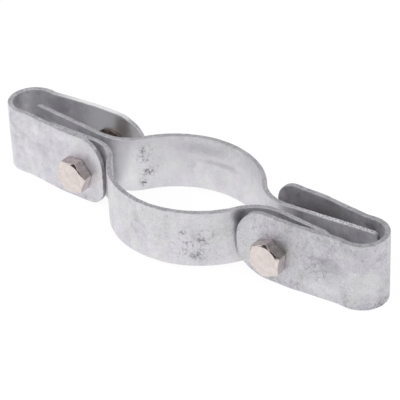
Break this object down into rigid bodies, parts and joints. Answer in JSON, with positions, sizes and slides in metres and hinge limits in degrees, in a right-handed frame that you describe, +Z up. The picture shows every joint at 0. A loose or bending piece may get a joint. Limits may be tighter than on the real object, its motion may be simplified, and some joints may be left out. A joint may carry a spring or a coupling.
{
  "type": "panel clip",
  "caption": "Clip that joins panels to a round post: bent strap halves grip the post, and a bolted U-shaped clip at each side holds the edge of a panel.",
  "frame": {"origin": "on the post's axis, in the middle of the ring and at half the height of the straps", "axes": "+Z up along the post, +X to the right clip, +Y away from the bolt heads"},
  "size_m": [0.1912, 0.0562, 0.03],
  "materials": {
    "zinc": "hot-dip galvanised, dull and mottled",
    "stainless": "stainless, cold-headed, satin"
  },
  "bodies": {
    "root": {"front_half": "zinc", "back_half": "zinc", "left_clip": "zinc", "right_clip": "zinc", "left_bolt": "stainless", "right_bolt": "stainless", "left_nut": "stainless", "right_nut": "stainless"}
  },
  "joints": []
}
